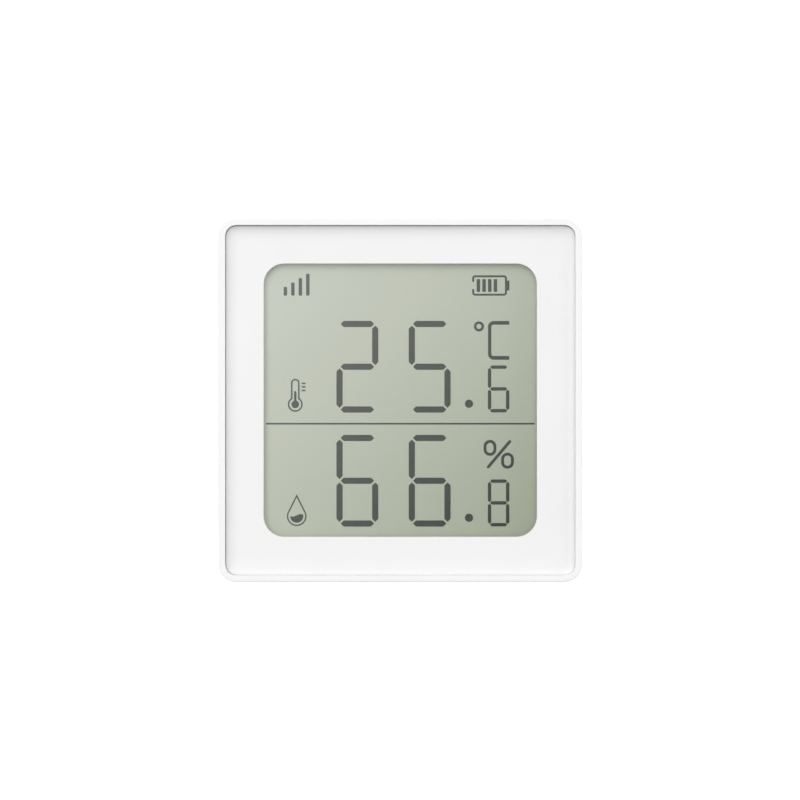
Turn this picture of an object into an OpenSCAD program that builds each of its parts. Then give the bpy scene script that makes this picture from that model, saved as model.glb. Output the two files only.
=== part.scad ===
// Desk sensor for temperature and humidity with a reflective number display.
// Each piece is drawn lying on its back: x runs to the right, y up the face and
// z from the back of the case to its front. stand() then sets it upright, so that
// the face looks along -Y, +Z is up and the origin is under the middle of the base.

/* [Case] */
// Width of the case, seen from the front
case_w = 60; // [54:0.5:70]
// Height of the case
case_h = 60; // [54:0.5:70]
// Depth of the case, front to back
case_d = 22.5; // [20.5:0.5:26]
// Radius of the case's corners, seen from the front
corner_r = 2.9; // [2.6:0.1:4]
// Thickness of the side and back walls
wall = 1.6; // [1.5:0.1:1.8]
// Depth of the front frame, from the rim to the seam
front_d = 12.5; // [12:0.5:13.5]
// Rounding of the rim's outer edge
rim_edge_r = 0.15; // [0.15:0.05:0.4]
// Rounding of the case's back edge
back_edge_r = 1.2; // [0.8:0.1:1.4]

/* [Face] */
// Width of the rim's front edge
rim_w = 1.05; // [1:0.05:1.2]
// How much wider the rim is at the face plate
rim_slope_w = 0.05; // [0.05:0.05:0.2]
// How far the face plate lies behind the rim
face_recess = 1.1; // [0.8:0.1:1.3]
// Thickness of the face plate
face_t = 0.8; // [0.7:0.1:1]
// Border of the case beside the display window
border_w = 7.45; // [7.25:0.05:7.65]
// Border of the case above and below the window
border_h = 7.45; // [7.25:0.05:7.65]
// Radius of the window's corners
window_r = 3.4; // [2.5:0.1:4]
// How much the window widens towards the front, at each side
window_slope_w = 0.05; // [0.05:0.05:0.2]

/* [Display] */
// Thickness of each glass plate
glass_t = 0.4; // [0.4:0.1:0.6]
// Bare contact edge of the front glass, above and below
contact_edge = 2.2; // [2:0.1:2.4]
// Temperature, tens
temp_tens = 2; // [0:1:9]
// Temperature, units
temp_units = 5; // [0:1:9]
// Temperature, tenths
temp_tenths = 6; // [0:1:9]
// Humidity, tens
humidity_tens = 6; // [0:1:9]
// Humidity, units
humidity_units = 6; // [0:1:9]
// Humidity, tenths
humidity_tenths = 8; // [0:1:9]

/* [Board] */
// Thickness of the main board
board_t = 1.2; // [0.8:0.1:1.6]
// Radius of a board screw's thread
board_screw_r = 0.8; // [0.7:0.05:0.9]

/* [Cells] */
// From the side of the case to the end of the battery bay
bay_side = 4.9; // [4.8:0.1:5.4]
// Gap between the battery bay and the board, which sets the cells' diameter
board_room = 2.15; // [2.15:0.05:2.65]
// Diameter of the contact springs' wire
wire_d = 0.45; // [0.4:0.05:0.5]

/* [Battery door] */
// Thickness of the door
door_t = 1.6; // [1.4:0.1:1.8]
// Gap round the door
door_gap = 0.2; // [0.15:0.05:0.3]
// Radius of the door's rolled lower edge
roll_r = 1.3; // [1.2:0.05:1.4]
// Radius of the hinge pins
pin_r = 0.7; // [0.6:0.05:0.75]
// Length of each hinge pin
pin_len = 1.2; // [1:0.1:1.4]

/* [Button] */
// Radius of the button
button_r = 3; // [2.6:0.1:3.4]
// Travel of the button
press_len = 0.5; // [0.3:0.05:0.6]

/* [Keyhole] */
// Radius of the keyhole's round entry
key_r = 3.6; // [3.3:0.1:4]
// Half width of the keyhole's slot
key_slot_r = 1.9; // [1.6:0.1:2]
// Length of the slot above the entry's centre
key_len = 6; // [5:0.5:7]

/* [Case screws] */
// Radius of a case screw's thread
case_screw_r = 1; // [0.9:0.05:1.05]
// Length of a case screw below its head
case_screw_len = 9; // [8:0.5:9.5]

/* [Fits] */
// Gap between fixed pieces that slot together
fit_gap = 0.1; // [0.05:0.05:0.15]
// Running gap round pins, screws and the switch plunger
pin_gap = 0.05; // [0.03:0.01:0.08]

/* [Hidden] */
$fn = 48;
// Overlap of joined shapes, and how far a cutter runs past a face
over = 0.2;

// Case, from the inside
in_w = case_w - 2 * wall;
in_h = case_h - 2 * wall;
in_r = corner_r - wall;
seam_z = case_d - front_d;
seam_groove = 0.15;
lap_t = wall / 2;
lap_h = 1.5;
lap_z = seam_z + lap_h;
hook_x = 15;
hook_w = 6;
hook_h = 0.6;
hook_skin = lap_t / 2;
hook_drop = 0.6;
hook_z = lap_z - hook_drop;

// Front stack, from the rim to the back of the board
face_z = case_d - face_recess;
seat_z = face_z - face_t;
polariser_t = 0.2;
polariser_lap = 0.45;
glass_z = seat_z - polariser_t;
crystal_t = 0.1;
crystal_z = glass_z - glass_t;
rear_glass_z = crystal_z - crystal_t;
reflector_t = 0.25;
reflector_z = rear_glass_z - glass_t;
tray_z = reflector_z - reflector_t;
tray_t = 2.3;
board_z = tray_z - tray_t;
solder_z = board_z - board_t;

// Face, display and holder, as whole widths and heights
window_w = case_w - 2 * border_w;
window_h = case_h - 2 * border_h;
window_land = 1;
// The plate lies down and to the right in its recess, so its seam is open above and at the left
face_gap = 0.02;
seam_left = 0.1;
seam_top = 0.15;
recess_edge = rim_w + rim_slope_w;
face_w = case_w - 2 * recess_edge - seam_left - face_gap;
face_h = case_h - 2 * recess_edge - seam_top - face_gap;
face_at = [seam_left - face_gap, face_gap - seam_top] / 2;
glass_lap = 0.7;
rear_glass_w = window_w + 2 * glass_lap;
rear_glass_h = window_h + 2 * glass_lap;
front_glass_h = rear_glass_h + 2 * contact_edge;
seal_w = 0.5;
holder_wall = 0.7;
holder_w = rear_glass_w + 2 * (fit_gap + holder_wall);
holder_h = front_glass_h + 2 * (fit_gap + holder_wall);
holder_r = 1;
tray_bar = 6;
strip_margin = 0.3;
strip_t = contact_edge - 2 * strip_margin;
strip_end = 1;
strip_len = window_w - 2 * strip_end;
strip_y = (rear_glass_h + contact_edge) / 2;
peg_r = 0.6;
peg_proud = 0.3;
peg_x = (strip_len + holder_w) / 4;
peg_y = strip_y;
ledge_t = 1.2;
ledge_gap = 0.35;

// Board and what holds it
board_gap = 0.4;
board_w = in_w - 2 * board_gap;
board_h = in_h - 2 * board_gap;
board_boss_r = 1.7;
board_screw_in = 2.4;
board_screw_x = in_w / 2 - board_screw_in;
board_screw_low = 5.5;
board_screw_drop = 19;
board_screw_y = [board_screw_low - case_h / 2, case_h / 2 - board_screw_drop];
board_head_r = 1.5;
board_head_t = 0.9;
board_screw_len = 3.4;

// Case screws and their posts
case_boss_r = 1.9;
case_boss_gap = 0.15;
case_screw_x = in_w / 2 - case_boss_r - case_boss_gap;
case_screw_drop = 11;
case_screw_y = case_h / 2 - case_screw_drop;
case_head_r = 1.8;
case_head_t = 1.3;
post_r = 2.9;
post_z = 8;
screw_seat_z = 4.5;
// Radius of a screw's hexagon socket, as a share of its head's
socket_share = 0.5;
pilot_room = 1;
boss_web = 1.2;

// Battery bay, from the hinge up
plate_t = 0.4;
bump_h = 0.7;
spring_len = 4.2;
cell_room = 0.25;
bay_wall = 1;
bay_w = case_w - 2 * bay_side;
bay_front_z = solder_z - board_room;
bay_z = bay_front_z - bay_wall;
cell_len = bay_w - spring_len - 2 * plate_t - bump_h;
cell_d = bay_z - door_t - 2 * cell_room;
cell_z = door_t + cell_room + cell_d / 2;
door_margin = 2.9;
hinge_y = -case_h / 2 + door_margin + roll_r;
hinge_z = roll_r;
bay_above_hinge = 0.35;
bay_low_y = hinge_y + bay_above_hinge;
cell_side = 0.4;
cell_between = 0.7;
lower_y = bay_low_y + cell_side + cell_d / 2;
upper_y = lower_y + cell_d + cell_between;
bay_high_y = upper_y + cell_d / 2 + cell_side;
cell_end = bay_w / 2 - plate_t - bump_h;
nub_r = 1.9;
nub_h = 0.8;
plate_in = 1.25;
plate_w = cell_d - 2 * plate_in;
tail_w = 2.4;
rib_t = 0.7;
divider_end = 6.1;
divider_len = bay_w - 2 * divider_end;
divider_w = 1.2;
divider_h = 1.6;
bump_r = 1.5;

// Battery door
door_lap = 0.6;
door_w = bay_w + 2 * door_lap;
latch_land = 1.45;
door_high_y = bay_high_y + latch_land;
recess_w = door_w + 2 * door_gap;
recess_high_y = door_high_y + door_gap;
cheek_h = 4;
cheek_rise = 2;
notch_depth = 1;
latch_w = 10;
latch_len = 6;
latch_slit = 0.8;
grip_count = 4;
grip_first = 1.2;
grip_side = 1;
grip_step = 1.4;
grip_t = 0.6;
grip_cut = 0.25;

// Keyhole and its pocket
key_drop = 14;
key_y = case_h / 2 - key_drop;
key_room = 0.6;
key_pocket_w = 2 * (key_r + key_room);
key_pocket_h = key_len + key_r + key_slot_r + 2 * key_room;
key_pocket_y = key_y + (key_len + key_slot_r - key_r) / 2;
key_depth = 3.4;
key_wall = 1;

// Button and switch
button_in = 13;
button_x = case_w / 2 - button_in;
button_drop = 15;
button_y = case_h / 2 - button_drop;
button_gap = 0.2;
button_sink = 0.3;
flange_t = 1;
flange_r = button_r + flange_t;
flange_gap = 0.15;
flange_z = wall + flange_gap;
collar_gap = 0.3;
collar_r = flange_r + collar_gap;
collar_t = 1;
collar_h = 3;
stem_r = 1.5;
switch_w = 6;
switch_h = 3.4;
switch_z = solder_z - switch_h;
plunger_r = 1.75;
plunger_len = 4.4;
plunger_z = switch_z - plunger_len;
plunger_in = 0.6;
dome_z = switch_z + plunger_in;
dome_rest_h = 0.2;
dome_h = press_len + dome_rest_h;
dome_t = 0.12;
leg_w = 0.7;
leg_t = 0.3;
leg_len = 1;
leg_y = 2;

// Vents in the side walls
vent_count = 6;
vent_pitch = 2.4;
vent_r = 0.6;
vent_low = 3;
vent_under_seam = 2;
vent_len = seam_z - vent_low - vent_under_seam;
vent_z = vent_low + vent_len / 2;
vent_drop = 17;
vent_y = case_h / 2 - vent_drop;

// Sizes of what is soldered to the back of the board, and places, measured from the case's top edge
top_y = case_h / 2;
driver_x = -4;
driver_drop = 28;
driver_at = [driver_x, top_y - driver_drop];
driver_size = [7, 7, 0.9];
crystal_x = 4;
crystal_drop = 25;
crystal_at = [crystal_x, top_y - crystal_drop];
crystal_size = [3.2, 1.5, 0.8];
storage_x = 5;
storage_drop = 8;
storage_at = [storage_x, top_y - storage_drop];
storage_size = [7.3, 4.3, 2.6];
sensor_in = 5.4;
sensor_drop = 27;
sensor_at = [in_w / 2 - sensor_in, top_y - sensor_drop];
sensor_size = [3, 3, 1];
sensor_hole_r = 0.6;
sensor_hole_h = 0.4;
radio_in = 17;
radio_drop = 14;
radio_at = [radio_in - case_w / 2, top_y - radio_drop];
radio_size = [15, 20, 0.6];
shield_size = [11.5, 12, 1.5];
shield_low = 3;
antenna_t = 0.1;
antenna_track = 0.6;
antenna_legs = 6;
antenna_pitch = 2;
antenna_h = 3;
antenna_edge = 1;
passive_size = [1, 0.5, 0.5];
passive_x = [-11, -11, 6, 6];
passive_drop = [33, 37, 33, 40];
passive_rows = [for (i = [0:3]) [passive_x[i], top_y - passive_drop[i]]];
passives_in_row = 4;
passive_pitch = 1.8;
isolation_w = 1;
isolation_reach = 3.4;

// Figures and symbols of the display, measured from its middle in a window of the drawn width
drawn_w = 45.1;
figure_scale = min(window_w, window_h) / drawn_w;
digit_w = 5.9;
digit_half = 7.07;
digit_stroke = 1.06;
// How far the segments that lie, and those that stand, end short of a figure's corners
digit_split = [0.16, 0.25];
digit_x = [-7.09, 4.86];
temp_y = 5.53;
humidity_y = -13.32;
small_w = 3;
small_half = 3.6;
small_stroke = 0.6;
small_split = [0.05, 0.09];
small_x = 16.26;
small_lift = 0.035;
foot_drop = digit_half + (digit_stroke - small_stroke) / 2 - small_half - small_lift;
dot_x = 11.36;
dot_r = 0.7;
dot_drop = 6.12;
rule_y = -3.89;
rule_w = 44.4;
rule_t = 0.31;
degree_at = [13.01, 12.19];
degree_r = 0.85;
degree_stroke = 0.45;
letter_at = [14.49, 9.89];
letter_size = [3.55, 6.44];
letter_stroke = 0.58;
letter_bar = 0.65;
letter_r = 1;
percent_stroke = 0.52;
percent_oval = [2.15, 2.68];
percent_ovals = [[14.83, -7.89], [17.73, -10]];
percent_slash = [[14.55, -11.04], [18.1, -6.84]];
signal_x = -18.99;
signal_y = 17.28;
signal_pitch = 1.235;
signal_w = 0.6;
signal_h = 1.46;
signal_rise = 0.725;
gauge_at = [11.87, 17.26];
gauge_size = [5.78, 3.4];
gauge_stroke = 0.36;
gauge_r = 0.5;
gauge_slit = 1.16;
gauge_nub = [0.46, 1.68];
gauge_bar = [0.62, 2.15];
gauge_pitch = 0.94;
gauge_first = 1.04;
bar_r = 0.14;
glass_bulb_at = [-17.36, -0.69];
glass_bulb_r = 1.25;
glass_tube_r = 0.73;
glass_top = 4.25;
glass_line = 0.29;
fluid_r = 0.66;
fluid_stem = 0.43;
fluid_top = 2;
tick_at = [1.03, 2.17];
tick_size = [0.68, 0.27];
tick_pitch = 0.58;
drop_at = [-17.12, -19.18];
drop_r = 1.64;
drop_tip = 3.66;
drop_line = 0.26;
water_r = 1.1;
water_wave = 0.13;
water_tilt = 0.13;
water_level = 0.16;

// Sets a piece that was drawn lying on its back upright
module stand() {
    translate([0, case_d / 2, case_h / 2]) rotate([90, 0, 0]) children();
}

// Rounded rectangle about the middle
module round_rect(w, h, r) {
    square([w - 2 * r, h], center = true);
    square([w, h - 2 * r], center = true);
    for (x = [-1, 1], y = [-1, 1])
        translate([x * (w / 2 - r), y * (h / 2 - r)]) circle(r);
}

// Slab of a rounded rectangle between two heights
module slab(w, h, r, low, high) {
    translate([0, 0, low]) linear_extrude(high - low) round_rect(w, h, r);
}

// Sweeps a profile round a rounded rectangle; the profile's x points outwards
module swept_frame(w, h, r) {
    for (side = [0:3]) rotate(90 * side) {
        long = side % 2 == 0 ? h : w;
        across = side % 2 == 0 ? w : h;
        translate([across / 2, long / 2 - r, 0]) rotate([90, 0, 0])
            linear_extrude(long - 2 * r) children();
        translate([across / 2 - r, long / 2 - r, 0])
            rotate_extrude(angle = 90) translate([r, 0]) children();
    }
}

// What a rounding of radius r takes off a square corner at the origin
module corner_waste(r) {
    difference() {
        translate([-r, -r]) square(r + over);
        translate([-r, -r]) circle(r);
    }
}

// Extrudes a profile drawn in y and z along x, about the middle
module along_x(length) {
    translate([-length / 2, 0, 0]) rotate([90, 0, 90]) linear_extrude(length) children();
}

// Box given by its middle in x and y, with its low and high faces in z
module pad(at, size, low, high) {
    translate([at[0] - size[0] / 2, at[1] - size[1] / 2, low]) cube([size[0], size[1], high - low]);
}

// Upright cylinder between two heights
module rod(x, y, r, low, high) {
    translate([x, y, low]) cylinder(r = r, h = high - low);
}

// Slot with round ends along y
module slot(r, length) {
    square([2 * r, length - 2 * r], center = true);
    for (end = [-1, 1]) translate([0, end * (length / 2 - r)]) circle(r);
}

// Component on the back of the board
module on_board(at, size, base = solder_z) {
    pad(at, size, base - size[2], base);
}

// Pan head screw that points along +z from the face under its head
module screw(x, y, r, length, head_r, head_t, seat) {
    difference() {
        union() {
            rod(x, y, head_r, seat - head_t, seat);
            rod(x, y, r, seat - over, seat + length);
        }
        translate([x, y, seat - head_t - over])
            cylinder(r = head_r * socket_share, h = head_t / 2 + over, $fn = 6);
    }
}

// Hook on the lower wall, between two depths from the outside, or its pocket with a gap round it
module hook(side, outer, inner, gap) {
    pad([side * hook_x, -case_h / 2 + (outer + inner) / 2], [hook_w + 2 * gap, inner - outer],
        hook_z - hook_h / 2 - gap, hook_z + hook_h / 2 + gap);
}

// Section of the front frame's wall: x is 0 at the outside and negative inwards
module front_section() {
    difference() {
        polygon([[0, seam_z], [0, case_d], [-rim_w, case_d], [-rim_w - rim_slope_w, face_z],
            [-rim_w - rim_slope_w, seat_z], [-wall, seat_z], [-wall, lap_z],
            [-lap_t, lap_z], [-lap_t, seam_z]]);
        translate([0, case_d]) corner_waste(rim_edge_r);
    }
}

module front_frame() {
    color("white") stand() difference() {
        union() {
            swept_frame(case_w, case_h, corner_r) front_section();
            difference() {
                slab(in_w + over, in_h + over, in_r + over / 2, seat_z - ledge_t, seat_z);
                slab(holder_w + 2 * ledge_gap, holder_h + 2 * ledge_gap, holder_r,
                    seat_z - ledge_t - over, seat_z + over);
            }
            for (side = [-1, 1]) {
                rod(side * case_screw_x, case_screw_y, case_boss_r, post_z, seat_z - ledge_t / 2);
                pad([side * (case_screw_x + in_w / 2 + over) / 2, case_screw_y],
                    [in_w / 2 + over - case_screw_x, boss_web], lap_z + over, seat_z - ledge_t / 2);
                for (y = board_screw_y)
                    rod(side * board_screw_x, y, board_boss_r, board_z, seat_z - ledge_t / 2);
            }
        }
        for (side = [-1, 1]) {
            rod(side * case_screw_x, case_screw_y, case_screw_r + pin_gap,
                post_z - over, screw_seat_z + case_screw_len + pilot_room);
            for (y = board_screw_y)
                rod(side * board_screw_x, y, board_screw_r + pin_gap,
                    board_z - over, solder_z + board_screw_len + over);
            hook(side, hook_skin, lap_t + over, fit_gap);
        }
    }
}

module face_plate() {
    margin = window_slope_w + window_land;
    color("whitesmoke") stand() {
        difference() {
            translate(face_at)
                slab(face_w, face_h, corner_r - recess_edge, seat_z, face_z);
            slab(window_w + 2 * margin, window_h + 2 * margin, window_r + margin,
                seat_z - over, face_z + over);
        }
        swept_frame(window_w, window_h, window_r)
            polygon([[0, seat_z], [margin, seat_z], [margin, face_z], [window_slope_w, face_z]]);
    }
}

module lcd_polariser() {
    color("lightgray", 0.3) stand()
        slab(window_w + 2 * polariser_lap, window_h + 2 * polariser_lap, holder_r, glass_z, seat_z);
}

module lcd_front_glass() {
    color("lightcyan", 0.2) stand() pad([0, 0], [rear_glass_w, front_glass_h], crystal_z, glass_z);
}

module lcd_cell_seal() {
    color("dimgray") stand() difference() {
        pad([0, 0], [rear_glass_w, rear_glass_h], rear_glass_z, crystal_z);
        pad([0, 0], [rear_glass_w - 2 * seal_w, rear_glass_h - 2 * seal_w],
            rear_glass_z - over, crystal_z + over);
    }
}

module lcd_rear_glass() {
    color("lightcyan", 0.2) stand() pad([0, 0], [rear_glass_w, rear_glass_h], reflector_z, rear_glass_z);
}

module lcd_reflector() {
    color([0.72, 0.74, 0.66]) stand()
        pad([0, 0], [rear_glass_w - seal_w, rear_glass_h - seal_w], tray_z, reflector_z);
}

// Rounded line between two points
module line(from, to, stroke) {
    run = to - from;
    length = norm(run);
    translate(from) rotate(atan2(run[1], run[0])) {
        translate([0, -stroke / 2]) square([length, stroke]);
        for (end = [0, length]) translate([end, 0]) circle(stroke / 2);
    }
}

// One segment of a figure, with pointed ends
module segment(length, stroke) {
    tip = length / 2;
    flat = tip - stroke / 2;
    polygon([[-tip, 0], [-flat, stroke / 2], [flat, stroke / 2],
        [tip, 0], [flat, -stroke / 2], [-flat, -stroke / 2]]);
}

// Segments of a figure: name, place as shares of its width and half height, and whether it stands
segments = [["a", 0, 1, false], ["b", 0.5, 0.5, true], ["c", 0.5, -0.5, true], ["d", 0, -1, false],
    ["e", -0.5, -0.5, true], ["f", -0.5, 0.5, true], ["g", 0, 0, false]];
// Segments that are dark in each figure from 0 to 9
lit = ["abcdef", "bc", "abged", "abgcd", "fgbc", "afgcd", "afgedc", "abc", "abcdefg", "abcdfg"];

module digit(value, w, half, stroke, split) {
    for (part = segments)
        if (len(search(part[0], lit[value])) > 0)
            translate([part[1] * w, part[2] * half]) rotate(part[3] ? 90 : 0)
                segment(part[3] ? half - 2 * split[1] : w - 2 * split[0], stroke);
}

// Two large figures, the point and a small figure
module reading(tens, units, tenths, y) {
    translate([digit_x[0], y]) digit(tens, digit_w, digit_half, digit_stroke, digit_split);
    translate([digit_x[1], y]) digit(units, digit_w, digit_half, digit_stroke, digit_split);
    translate([small_x, y - foot_drop]) digit(tenths, small_w, small_half, small_stroke, small_split);
    translate([dot_x, y - dot_drop]) circle(dot_r);
}

module celsius_sign() {
    translate(degree_at) difference() {
        circle(degree_r);
        circle(degree_r - degree_stroke);
    }
    size = letter_size;
    translate(letter_at) difference() {
        translate([size[0], 0]) round_rect(2 * size[0], size[1], letter_r);
        translate([size[0], 0])
            round_rect(2 * (size[0] - letter_stroke), size[1] - 2 * letter_bar, letter_r - letter_bar);
        translate([size[0], -size[1]]) square([2 * size[0], 2 * size[1]]);
    }
}

module percent_sign() {
    w = percent_oval[0];
    h = percent_oval[1];
    for (at = percent_ovals) translate(at) difference() {
        slot(w / 2, h);
        slot(w / 2 - percent_stroke, h - 2 * percent_stroke);
    }
    line(percent_slash[0], percent_slash[1], percent_stroke);
}

module signal_bars() {
    for (bar = [0:3]) {
        h = signal_h + bar * signal_rise;
        translate([signal_x + bar * signal_pitch, signal_y + h / 2]) round_rect(signal_w, h, bar_r);
    }
}

module charge_gauge() {
    w = gauge_size[0];
    h = gauge_size[1];
    translate(gauge_at) {
        difference() {
            translate([w / 2, h / 2]) round_rect(w, h, gauge_r);
            translate([w / 2, h / 2])
                round_rect(w - 2 * gauge_stroke, h - 2 * gauge_stroke, gauge_r - gauge_stroke);
            translate([-over, (h - gauge_slit) / 2]) square([gauge_stroke + 2 * over, gauge_slit]);
        }
        translate([w - over / 4, (h - gauge_nub[1]) / 2]) square(gauge_nub);
        for (bar = [0:3])
            translate([gauge_first + bar * gauge_pitch, h / 2]) round_rect(gauge_bar[0], gauge_bar[1], bar_r);
    }
}

// Outline of the thermometer, drawn in by a margin
module thermometer_shape(margin) {
    circle(glass_bulb_r - margin);
    translate([-glass_tube_r + margin, 0]) square([2 * (glass_tube_r - margin), glass_top - glass_tube_r]);
    translate([0, glass_top - glass_tube_r]) circle(glass_tube_r - margin);
}

module thermometer() {
    translate(glass_bulb_at) {
        difference() {
            thermometer_shape(0);
            thermometer_shape(glass_line);
        }
        circle(fluid_r);
        line([0, 0], [0, fluid_top], fluid_stem);
        for (tick = [0:2])
            translate([tick_at[0], tick_at[1] + tick * tick_pitch]) square(tick_size);
    }
}

// Outline of a drop with straight sides from its tip to the round part
// Tip, and the round part between the points where the straight sides touch it
module drop_shape(r, tip) {
    round_steps = 48;
    lean = asin(r / tip);
    turn = (180 + 2 * lean) / round_steps;
    polygon(concat([[0, tip]],
        [for (i = [0:round_steps]) [r * cos(lean - i * turn), r * sin(lean - i * turn)]]));
}

module water_drop() {
    wave_steps = 12;
    inner_r = drop_r - drop_line;
    surface = [for (i = [0:wave_steps]) let (u = 2 * i / wave_steps - 1)
        [u * water_r, water_tilt * u + water_wave * sin(180 * u) + water_level]];
    translate(drop_at) {
        difference() {
            drop_shape(drop_r, drop_tip);
            drop_shape(inner_r, drop_tip * inner_r / drop_r);
        }
        intersection() {
            circle(water_r);
            polygon(concat([[-water_r, -drop_r]], surface, [[water_r, -drop_r]]));
        }
    }
}

module figures() {
    reading(temp_tens, temp_units, temp_tenths, temp_y);
    reading(humidity_tens, humidity_units, humidity_tenths, humidity_y);
    translate([-rule_w / 2, rule_y - rule_t / 2]) square([rule_w, rule_t]);
    celsius_sign();
    percent_sign();
    signal_bars();
    charge_gauge();
    thermometer();
    water_drop();
}

module lcd_segments() {
    color([0.3, 0.31, 0.3]) stand() translate([0, 0, rear_glass_z]) linear_extrude(crystal_t)
        scale(figure_scale) figures();
}

module lcd_holder() {
    glass_room = 2 * fit_gap;
    opening = [rear_glass_w - tray_bar, rear_glass_h - tray_bar] / 2;
    color("gainsboro") stand() {
        difference() {
            slab(holder_w, holder_h, holder_r, board_z, seat_z);
            pad([0, 0], [rear_glass_w + glass_room, front_glass_h + glass_room], crystal_z, seat_z + over);
            pad([0, 0], [rear_glass_w + glass_room, rear_glass_h + glass_room], tray_z, crystal_z + over);
            for (x = [-1, 1], y = [-1, 1])
                pad([x * rear_glass_w / 4, y * rear_glass_h / 4], opening, board_z - over, tray_z + over);
            for (side = [-1, 1])
                pad([0, side * strip_y], [strip_len + glass_room, strip_t + glass_room],
                    board_z - over, crystal_z + over);
        }
        for (x = [-1, 1], y = [-1, 1])
            rod(x * peg_x, y * peg_y, peg_r, solder_z - peg_proud, board_z + over);
    }
}

module connector_strips() {
    color("dimgray") stand() for (side = [-1, 1])
        pad([0, side * strip_y], [strip_len, strip_t], board_z, crystal_z);
}

module main_board() {
    notch = case_boss_r + board_gap;
    color("seagreen") stand() difference() {
        slab(board_w, board_h, in_r - board_gap + over, solder_z, board_z);
        for (side = [-1, 1]) {
            pad([side * (case_screw_x + notch), case_screw_y], [4 * notch, 2 * notch],
                solder_z - over, board_z + over);
            for (y = board_screw_y)
                rod(side * board_screw_x, y, board_screw_r + fit_gap, solder_z - over, board_z + over);
            for (y = [-1, 1])
                rod(side * peg_x, y * peg_y, peg_r + fit_gap, solder_z - over, board_z + over);
        }
        for (y = [-1, 1])
            pad(sensor_at + [0, y * isolation_reach], [2 * isolation_reach, isolation_w],
                solder_z - over, board_z + over);
        pad(sensor_at - [isolation_reach, 0], [isolation_w, isolation_reach],
            solder_z - over, board_z + over);
    }
}

module board_screws() {
    color("silver") stand() for (side = [-1, 1], y = board_screw_y)
        screw(side * board_screw_x, y, board_screw_r, board_screw_len, board_head_r, board_head_t, solder_z);
}

module display_driver() {
    color([0.15, 0.15, 0.16]) stand() on_board(driver_at, driver_size);
}

module clock_crystal() {
    color("silver") stand() on_board(crystal_at, crystal_size);
}

module small_passives() {
    color("tan") stand() for (row = passive_rows, i = [0:passives_in_row - 1])
        on_board(row + [i * passive_pitch, 0], passive_size);
}

module storage_capacitor() {
    color("goldenrod") stand() on_board(storage_at, storage_size);
}

module humidity_sensor() {
    low = solder_z - sensor_size[2];
    color("white") stand() difference() {
        on_board(sensor_at, sensor_size);
        rod(sensor_at[0], sensor_at[1], sensor_hole_r, low - over, low + sensor_hole_h);
    }
}

module radio_board() {
    color("darkgreen") stand() on_board(radio_at, radio_size);
}

module radio_shield() {
    at = radio_at - [0, shield_low];
    color("silver") stand() on_board(at, shield_size, solder_z - radio_size[2]);
}

module radio_antenna() {
    foot = solder_z - radio_size[2];
    low = radio_at[1] + radio_size[1] / 2 - antenna_h - antenna_edge;
    first = radio_at[0] - (antenna_legs - 1) * antenna_pitch / 2;
    color("peru") stand() for (leg = [0:antenna_legs - 1]) {
        x = first + leg * antenna_pitch;
        pad([x, low + antenna_h / 2], [antenna_track, antenna_h], foot - antenna_t, foot);
        if (leg < antenna_legs - 1)
            pad([x + antenna_pitch / 2, leg % 2 == 0 ? low : low + antenna_h],
                [antenna_pitch + antenna_track, antenna_track], foot - antenna_t, foot);
    }
}

module switch_base() {
    at = [button_x, button_y];
    color([0.2, 0.2, 0.21]) stand() {
        difference() {
            pad(at, [switch_w, switch_w], switch_z, solder_z);
            rod(at[0], at[1], plunger_r + pin_gap, switch_z - over, dome_z + dome_h);
        }
        for (x = [-1, 1], y = [-1, 1])
            pad(at + [x * (switch_w + leg_len) / 2, y * leg_y], [leg_len, leg_w],
                solder_z - leg_t, solder_z);
    }
}

module switch_dome() {
    color("silver") stand() translate([button_x, button_y, dome_z]) rotate_extrude()
        polygon([[0, 0], [plunger_r / 2, 0], [plunger_r, dome_h - dome_t], [plunger_r, dome_h],
            [plunger_r - dome_t, dome_h], [plunger_r / 2 - dome_t, dome_t], [0, dome_t]]);
}

module switch_plunger() {
    color([0.12, 0.12, 0.12]) stand() rod(button_x, button_y, plunger_r, plunger_z, dome_z);
}

module button_cap() {
    color("whitesmoke") stand() {
        rod(button_x, button_y, button_r, button_sink, flange_z + over);
        rod(button_x, button_y, flange_r, flange_z, flange_z + flange_t);
        rod(button_x, button_y, stem_r, flange_z, plunger_z);
    }
}

// Section of the rear shell's wall: x is 0 at the outside and negative inwards
module rear_section() {
    tongue = lap_t + fit_gap;
    top = seam_z - seam_groove;
    difference() {
        polygon([[0, 0], [0, top], [-tongue, top], [-tongue, lap_z], [-wall, lap_z], [-wall, 0]]);
        mirror([0, 1]) corner_waste(back_edge_r);
    }
}

// Keyhole as seen from behind the case
module keyhole() {
    circle(key_r);
    translate([-key_slot_r, 0]) square([2 * key_slot_r, key_len]);
    translate([0, key_len]) circle(key_slot_r);
}

// Room for the door and its rolled lower edge, as a side view
module door_room() {
    r = roll_r + door_gap;
    translate([hinge_y, hinge_z]) circle(r);
    translate([hinge_y - r, -over]) square([r, hinge_z + over]);
    translate([hinge_y, -over]) square([recess_high_y - hinge_y, door_t + over]);
}

// Corner that keeps a contact plate against the end of the bay
module plate_keeper(end, y, side) {
    face = bay_w / 2 - plate_t - fit_gap;
    edge = plate_w / 2 + fit_gap;
    low = cell_z - plate_w / 2;
    pad([end * (face - rib_t / 2), y + side * edge], [rib_t, 2 * rib_t], low, bay_z + over);
    pad([end * (face - rib_t + bay_w / 2) / 2, y + side * (edge + rib_t / 2)],
        [bay_w / 2 - face + rib_t, rib_t], low, bay_z + over);
}

module bay_block() {
    h = bay_high_y - bay_low_y + 2 * bay_wall;
    pad([0, (bay_high_y + bay_low_y) / 2], [bay_w + 2 * bay_wall, h], over, bay_front_z);
}

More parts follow.
